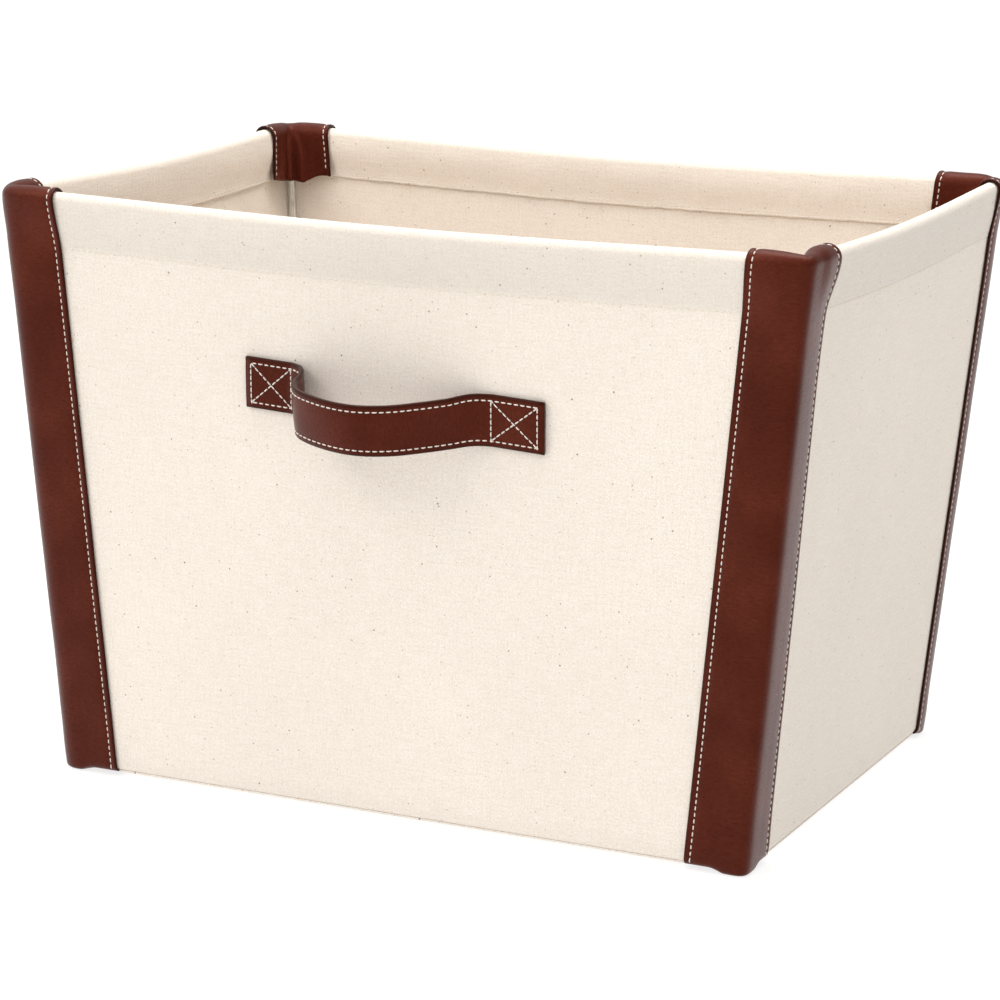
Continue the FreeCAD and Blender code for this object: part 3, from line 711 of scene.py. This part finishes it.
def stripPoint(corner, column, station):
    s, w = leatherStrip, canvasWall
    sx, sy = corners[corner]
    kind, value = column[:2]
    t = station[1]
    developed, fromEdge = acrossStrip(column)
    if kind == "y" and station[0] not in ("sole", "turn"):
        flare = {"wall": smooth(0.86, 1.12, t), "hem": smooth(-0.86, 1.0, t)}.get(station[0], 1.0)
        value *= 1 + s["ears"].get(corner, 0) * flare / armAt(corner, "y")
        column = (kind, value, fromEdge)
    shape = surfaceShape(fromEdge) if kind != "bend" else 0.0
    seed = 3 + list(corners).index(corner)
    side = sideOf(corner, "x" if kind in ("x", "bend") else "y")
    lengthAxis = 0 if sides[side][0] else 1
    straightTop = wireHalf(lengthAxis, rimLevel) - wireBend
    fromCorner = value if kind != "bend" else 0.0
    share = 1 - fromCorner / straightTop
    drop = rimDrop(share)
    over = (w["thickness"] + s["thickness"]) / 2 + 0.08 * mm
    middleShare = 1 - smooth(0, 14 * mm, abs(developed))
    heel = s["heel"] * smooth(7 * mm, 15 * mm, abs(developed))
    soleLevel = s["thickness"] / 2 + heel
    bend = s["footBend"]
    along = share * straightTop * (1 if (sx if lengthAxis == 0 else sy) > 0 else -1)
    if station[0] == "sole":
        # the patch under the corner, from its far point out to the foot's edge
        outer = atCorner(corner, column, w["standOff"] + over - bend * 0.6, soleLevel)
        far = Vector((sx * (wireHalf(0, 0) - s["patch"]), sy * (wireHalf(1, 0) - s["patch"]),
                      soleLevel + 0.3 * mm))
        return mix(far, outer, 0.08 + 0.92 * t)
    if station[0] == "turn":
        angle = mix(-math.pi / 2, 0, t)
        out = w["standOff"] + over - bend + bend * math.cos(angle)
        return atCorner(corner, column, out + 0.5 * mm * middleShare,
                        soleLevel + bend + bend * math.sin(angle))
    turned = {"x": 0.0, "y": 1.0}.get(kind, value / (math.pi / 2))
    rowLevel = mix(seamLevel(sideOf(corner, "x")), seamLevel(sideOf(corner, "y")), turned) - drop
    if station[0] == "wall":
        z = mix(soleLevel + bend, rowLevel, t)
        # the base wire shows as a slight swelling just above the floor
        swell = 0.5 * mm * math.exp(-((z - 9 * mm) / (5 * mm)) ** 2)
        dent = 0.25 * mm * wave(seed, developed, z, 0.035) * smooth(8 * mm, 30 * mm, z)
        out = wallOut(side, fromCorner, along, z) + over + shape + swell + dent
        return atCorner(corner, column, out, z)
    rowOut = wallOut(side, fromCorner, along, rowLevel) + over
    middle = rimLevel - drop
    roll = s["rollRadius"] + 0.3 * mm * wave(seed + 5, developed, t * 0.02, 0.012)
    if kind == "y":
        roll += s["ears"].get(corner, 0) * 0.2 * smooth(0, 8 * mm, value)
    roll -= (s["saddle"] + 0.5 * mm * wave(seed + 6, developed, t * 0.01, 0.005)) * middleShare
    if station[0] == "hem":
        z = mix(rowLevel, middle, t)
        return atCorner(corner, column, mix(rowOut, roll, smooth(-0.1, 1.0, t)) + shape, z)
    if station[0] == "roll":
        angle = mix(0.0, math.pi, t)
        loose = smooth(0.35, 1.0, t) * 0.6
        return atCorner(corner, column, (roll + shape) * math.cos(angle),
                        middle + (roll + shape) * math.sin(angle), loose)
    # the flap hangs inside and takes up its spare width in pleats
    low = s["flapLow"] - s["rollRadius"]
    pleatZone = 1 - smooth(11 * mm, 19 * mm, abs(developed))
    phase = developed / (5.2 * mm) * math.pi + seed * 1.3
    pleat = s["pleat"] * math.cos(phase + 0.5 * math.sin(phase)) * pleatZone * smooth(-0.2, 0.5, t)
    hang = mix(-s["rollRadius"], s["flapOut"], smooth(0, 0.4, t))
    ragged = 2.4 * mm * wave(seed + 8, developed, 0, 0.018)
    lift = s["flapLift"][0 if kind == "x" else 1] * smooth(5 * mm, 22 * mm, abs(developed))
    z = middle - t * (low + ragged - lift)
    armEase = mix(0, 1.1 * mm, t) * smooth(10 * mm, 20 * mm, abs(developed))
    return atCorner(corner, column, hang - shape + armEase + pleat, z, mix(0.6, 1.0, smooth(0, 0.45, t)))


def makeStrip(corner):
    s = leatherStrip
    columns, stations = stripColumns(corner), stripStations()
    points, uvs, edges = [], [], []
    for station in stations:
        for column in columns:
            points.append(stripPoint(corner, column, station))
    width = len(columns)
    lengths = [0.0]
    for row in range(1, len(stations)):
        step = points[row * width + 3] - points[(row - 1) * width + 3]
        lengths.append(lengths[-1] + step.length)
    for row in range(len(stations)):
        for column in columns:
            developed, fromEdge = acrossStrip(column)
            uvs.append((developed, lengths[row]))
            edges.append((1 - smooth(0, 1.6 * mm, fromEdge), 0.0))
    faces = gridFaces(len(stations), width)
    if corners[corner][0] * corners[corner][1] > 0:
        faces = [tuple(reversed(face)) for face in faces]
    strip = makePiece(f"leather_strip_{corner}", points, faces, leather, uvs, edges)
    settle(strip, s["thickness"], rounds=1)
    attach(strip, "bin")
    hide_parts(f"corner_strip_{corner}")

    # two rows of stitches, from the foot's turn to the flap's lower edge
    steps = []
    first = next(i for i, st in enumerate(stations) if st[0] == "wall")
    rows = range(first - 1, len(stations) - 1)
    facing = 1 if corners[corner][0] * corners[corner][1] < 0 else -1
    for c in [c for c, column in enumerate(columns) if abs(column[2] - s["stitchInset"]) < 0.01 * mm]:
        line = [points[row * width + c].copy() for row in rows]
        normals = [n * facing for row in rows for n in rowNormals(points, width, row, [c])]
        line = [p + n * (s["thickness"] / 2) for p, n in zip(line, normals)]
        steps += stitchPoints(line, normals, stitches["strip"]["pitch"])
    thread = stitchPiece(f"strip_stitches_{corner}", steps, offWhiteThread, stitches["strip"])
    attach(thread, "bin")
    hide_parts(f"corner_thread_{corner}")


for side in sides:
    makeWall(side)
print("canvas walls and hem seams made")
for corner in corners:
    makeStrip(corner)
print("leather corner strips made")


def roundedOutline(halfX, halfY, radius, perCorner=8):
    outline = []
    for sx, sy, start in ((1, 1, 0), (-1, 1, 90), (-1, -1, 180), (1, -1, 270)):
        for i in range(perCorner + 1):
            angle = math.radians(start + 90 * i / perCorner)
            outline.append((sx * (halfX - radius) + radius * math.cos(angle),
                            sy * (halfY - radius) + radius * math.sin(angle)))
    return outline


def domedPlate(name, halfX, halfY, radius, rings, material):
    # Rings of (inset, level) from the middle of the underside out to the edge and back over the top.
    points, uvs = [], []
    count = len(roundedOutline(halfX, halfY, radius))
    for inset, z in rings:
        bend = max(radius - inset, 0.5 * mm)
        for x, y in roundedOutline(halfX - inset, halfY - inset, bend):
            points.append(Vector((x, y, z)))
            uvs.append((x, y - (1.0 if z > rings[0][1] else 2.0)))   # well away from the hem's band
    faces = []
    for ring in range(len(rings) - 1):
        for k in range(count):
            a, b = ring * count + k, ring * count + (k + 1) % count
            faces.append((a, b, b + count, a + count))
    faces.append(tuple(reversed(range(count))))
    faces.append(tuple((len(rings) - 1) * count + k for k in range(count)))
    return makePiece(name, points, faces, material, uvs)


coveredBoard = {"cornerRadius": 17 * mm, "flatEdge": 12 * mm}   # the flat middle starts this far in


def makeBoard():
    low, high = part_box("base_board_cover")
    halfX, halfY, thick = high.x, high.y, high.z - low.z
    soft = thick / 2
    rings = [(coveredBoard["flatEdge"], low.z), (soft, low.z)]
    rings += [(soft * (1 - math.sin(math.radians(a))), low.z + soft * (1 - math.cos(math.radians(a))))
              for a in (30, 60, 90, 120, 150)]
    rings += [(soft, high.z), (coveredBoard["flatEdge"], high.z)]
    cover = domedPlate("covered_base_board", halfX, halfY, coveredBoard["cornerRadius"], rings, canvas)
    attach(cover, "board")
    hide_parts("base_board_cover")


baseCloth = {"columns": 24, "rows": 18, "cornerCut": 4 * mm, "sag": 0.35 * mm}


def makeBase():
    low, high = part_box("base_panel")
    columns, rows = baseCloth["columns"], baseCloth["rows"]
    points, uvs = [], []
    for r in range(rows + 1):
        for c in range(columns + 1):
            u, v = 2 * c / columns - 1, 2 * r / rows - 1
            corner = smooth(0.9, 1.0, abs(u)) * smooth(0.9, 1.0, abs(v)) * baseCloth["cornerCut"]
            x, y = u * (high.x - corner), v * (high.y - corner)
            sag = baseCloth["sag"] * wave(77, x, y, 0.08) * (1 - abs(u) ** 6) * (1 - abs(v) ** 6)
            points.append(Vector((x, y, (low.z + high.z) / 2 + sag)))
            uvs.append((x, y - 3.0))
    base = makePiece("canvas_base", points, gridFaces(rows + 1, columns + 1), canvas, uvs)
    settle(base, canvasWall["thickness"])
    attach(base, "bin")
    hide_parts("base_panel")


makeBoard()
makeBase()
print("base cloth and covered board made")


strapHandle = {
    "width": 25.5 * mm,
    "thickness": 2.7 * mm,
    "level": 208 * mm,
    "aside": 4 * mm,           # sewn on this much right of the middle, and this much high
    "high": 3 * mm,
    "tabEnd": 79 * mm,         # middle of the strap to the end of a sewn tab
    # the loop from the left seam to the right one, in mm: along the wall, and off it
    "route": [(-54, 0), (-48, 3.5), (-44, 10), (-42.5, 19), (-35.5, 28.5), (-19, 35), (-3, 36.0),
              (12, 30.5), (25, 20.5), (37, 9.5), (45, 3.2), (52, 0)],
    "stitchInset": 3.0 * mm,
    "boxPitch": 0.9,           # the box-and-cross is sewn this much closer than the edges
    "tilt": 2.6,               # degrees, sewn on a little askew
    "droop": 10,               # degrees below level
    "bendStart": 3.2 * mm,     # off the wall, where the strap begins to swing
    "bendEnd": 15 * mm,        # and where it swings all the way
}


def curveThrough(points, steps):
    # A smooth line through the points, as a Catmull-Rom spline.
    line = []
    for i in range(len(points) - 1):
        before, here = points[max(i - 1, 0)], points[i]
        there, after = points[i + 1], points[min(i + 2, len(points) - 1)]
        for k in range(steps):
            t = k / steps
            line.append(0.5 * ((2 * here) + (there - before) * t
                               + (2 * before - 5 * here + 4 * there - after) * t ** 2
                               + (3 * here - before - 3 * there + after) * t ** 3))
    return line + [points[-1]]


def makeHandle():
    h = strapHandle
    hingeLevel = h["level"]
    lean = math.atan2(wireHalf(1, rimLevel) - wireHalf(1, footLevel), rimLevel - footLevel)
    upWall = Vector((0, -math.sin(lean), math.cos(lean)))
    tilt = math.radians(h["tilt"])

    def wallPoint(x, up):
        z = hingeLevel + up
        straight = wireHalf(0, rimLevel) - wireBend
        out = wallOut("front", straight - abs(x), x, z) + canvasWall["thickness"] / 2
        return Vector((x, -(wireHalf(1, z) + out), z))

    # the strap's middle line: left tab, loop, right tab, each point (along the wall, off it)
    route = [Vector((x * mm, out * mm, 0)) for x, out in h["route"]]
    seams = h["route"][0][0] * mm, h["route"][-1][0] * mm
    tabPoints = 8
    line = [Vector((mix(-h["tabEnd"], seams[0], k / tabPoints), 0, 0)) for k in range(tabPoints)]
    line += curveThrough(route, 5)
    line += [Vector((mix(seams[1], h["tabEnd"], k / tabPoints), 0, 0)) for k in range(1, tabPoints + 1)]

    half = h["width"] / 2
    row = 1 - h["stitchInset"] / half
    acrossShares = [-1, -0.985, -0.93, -0.82, -0.73, -0.62, -0.3, 0, 0.3, 0.62, 0.73, 0.82, 0.93, 0.985, 1]

    def skin(a):
        # half thickness of the strap: rounded edges, pulled in along the stitches
        edge = math.sqrt(max(0.0, 1 - max(0.0, (abs(a) - 0.9) / 0.1) ** 2))
        pull = 0.22 * math.exp(-((abs(a) - row) / 0.05) ** 2)
        return h["thickness"] / 2 * (0.25 + 0.75 * edge - pull + 0.08 * (1 - a * a))

    section = [(a, 1) for a in acrossShares] + [(a, -1) for a in reversed(acrossShares[1:-1])]
    points, uvs, edges, frames = [], [], [], []
    travelled = 0.0
    for i, here in enumerate(line):
        back, ahead = line[max(i - 1, 0)], line[min(i + 1, len(line) - 1)]
        tangent = (ahead - back).normalized()
        free = smooth(0, 12 * mm, here.y)
        droop = math.radians(h["droop"] * free)
        outward = Vector((0, -math.cos(droop), -math.sin(droop)))
        upward = Vector((0, -math.sin(mix(lean, droop, free)), math.cos(mix(lean, droop, free))))
        anchor = wallPoint(here.x + h["aside"], h["high"] - math.tan(tilt) * here.x)
        middle = anchor + outward * (here.y + h["thickness"] / 2)
        along = (Vector((1, 0, 0)) * tangent.x + outward * tangent.y
                 - upWall * math.tan(tilt) * abs(tangent.x)).normalized()
        face = along.cross(upward).normalized()
        frames.append((middle, upward, face))
        if i:
            travelled += (line[i] - line[i - 1]).length
        for a, facing in section:
            points.append(middle + upward * (a * half) + face * (facing * skin(a)))
            uvs.append((a * half, travelled))
            edges.append((smooth(0.86, 0.97, abs(a)) * 0.9, 0.0))
    count, rings = len(section), len(line)
    faces = []
    for i in range(rings - 1):
        for k in range(count):
            a, b = i * count + k, i * count + (k + 1) % count
            faces.append((a, a + count, b + count, b))
    faces.append(tuple(range(count)))
    faces.append(tuple((rings - 1) * count + k for k in reversed(range(count))))
    strap = makePiece("strap_handle", points, faces, leather, uvs, edges)
    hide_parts("handle_loop", "handle_tab_left", "handle_tab_right")

    def facePoint(x, a):
        # Point on the strap's outer face above wall position x, a across it from -1 to 1.
        for i in range(len(line) - 1):
            if line[i].x <= x <= line[i + 1].x:
                share = (x - line[i].x) / max(line[i + 1].x - line[i].x, 1e-9)
                middle, upward, face = [mix(p, q, share) for p, q in zip(frames[i], frames[i + 1])]
                return middle + upward * (a * half) + face * skin(a), face.normalized()

    pitch, inset, steps = stitches["handle"]["pitch"], h["stitchInset"], []
    for a in (row, -row):
        edgeRow = [middle + upward * (a * half) + face * skin(a) for middle, upward, face in frames[1:-1]]
        steps += stitchPoints(edgeRow, [face for _, _, face in frames[1:-1]], pitch)
    for outer, inner in ((-h["tabEnd"] + inset, seams[0]), (h["tabEnd"] - inset, seams[1])):
        ends = [((outer, row), (outer, -row)), ((inner, row), (inner, -row)),
                ((outer, row), (inner, -row)), ((outer, -row), (inner, row))]
        for (x0, a0), (x1, a1) in ends:
            samples = [facePoint(mix(x0, x1, k / 12), mix(a0, a1, k / 12)) for k in range(13)]
            steps += stitchPoints([p for p, n in samples], [n for p, n in samples], pitch * h["boxPitch"])
    thread = stitchPiece("handle_stitches", steps, offWhiteThread, stitches["handle"])
    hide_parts("handle_tab_thread_left", "handle_tab_thread_right", "handle_loop_thread")
    wallFace = wallPoint(0, 0).y
    for piece in (strap, thread):
        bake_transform(piece)


makeHandle()
print("strap handle made")

finishes = {"rim_wire": platedWire, "base_wire": platedWire, "base_board": hardboard}
finishes.update({f"corner_post_{corner}": platedWire for corner in corners})
for name, material in finishes.items():
    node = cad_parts[name]
    node.data.materials.clear()
    node.data.materials.append(material)
    node.data.polygons.foreach_set("use_smooth", [True] * len(node.data.polygons))


def makeFloor():
    reach = 12.0
    floor = makePiece("studio_floor", [Vector((x, y, 0)) for x, y in
                                       ((-reach, -reach), (reach, -reach), (reach, reach), (-reach, reach))],
                      [(0, 1, 2, 3)], opalAcrylic)


# place, the point it faces, and watts of each square softbox
softboxes = {
    "key_softbox": ((-1.6, -2.1, 2.4), (0, 0, 0.2), 24),
    "top_softbox": ((0.1, 0.1, 2.2), (0.1, 0.1, 0), 40),
}


def softLight(name, place, target, watts):
    lamp = bpy.data.lights.new(name, "AREA")
    lamp.shape = "SQUARE"
    lamp.size = 1.6      # metres
    lamp.energy = watts
    lamp.color = linear("#FFFDFA")[:3]      # a trace warmer than white
    light = bpy.data.objects.new(name, lamp)
    bpy.context.scene.collection.objects.link(light)
    light.location = place
    light.rotation_euler = (Vector(target) - Vector(place)).to_track_quat("-Z", "Y").to_euler()


makeFloor()
for name, (place, target, watts) in softboxes.items():
    softLight(name, place, target, watts)

# a white studio that is brightest high on the front left, like one very large softbox
studioGlow = {"towards": (-0.42, -0.33, 0.845), "darkest": 0.36, "brightest": 1.16}
world = bpy.data.worlds.new("studio")
bpy.context.scene.world = world
world.use_nodes = True
direction = addNode(world, "ShaderNodeTexCoord")
towards = addNode(world, "ShaderNodeVectorMath", {"operation": "DOT_PRODUCT", 1: studioGlow["towards"]},
                  {0: direction.outputs["Generated"]})
glow = addNode(world, "ShaderNodeMapRange",
               {"To Min": studioGlow["darkest"], "To Max": studioGlow["brightest"]},
               {"Value": towards.outputs["Value"]})
background = world.node_tree.nodes["Background"]
background.inputs["Color"].default_value = (1, 1, 1, 1)
world.node_tree.links.new(glow.outputs[0], background.inputs["Strength"])

cameraView = {
    "place": (0.7378, -1.6381, 0.5519),
    "azimuth": 24.41, "elevation": 13.10, "roll": 1.04,
    "lens": 128.1,
}
lens = bpy.data.cameras.new("camera")
lens.sensor_width = 36
lens.lens = cameraView["lens"]
lens.clip_end = 50
camera = bpy.data.objects.new("camera", lens)
bpy.context.scene.collection.objects.link(camera)
azimuth, elevation = math.radians(cameraView["azimuth"]), math.radians(cameraView["elevation"])
forward = Vector((-math.sin(azimuth) * math.cos(elevation), math.cos(azimuth) * math.cos(elevation),
                  -math.sin(elevation)))
camera.location = cameraView["place"]
turned = forward.to_track_quat("-Z", "Y") @ Euler((0, 0, math.radians(cameraView["roll"]))).to_quaternion()
camera.rotation_euler = turned.to_euler()
bpy.context.scene.camera = camera
bpy.context.scene.view_settings.view_transform = "Standard"
print("floor, lights and camera placed")
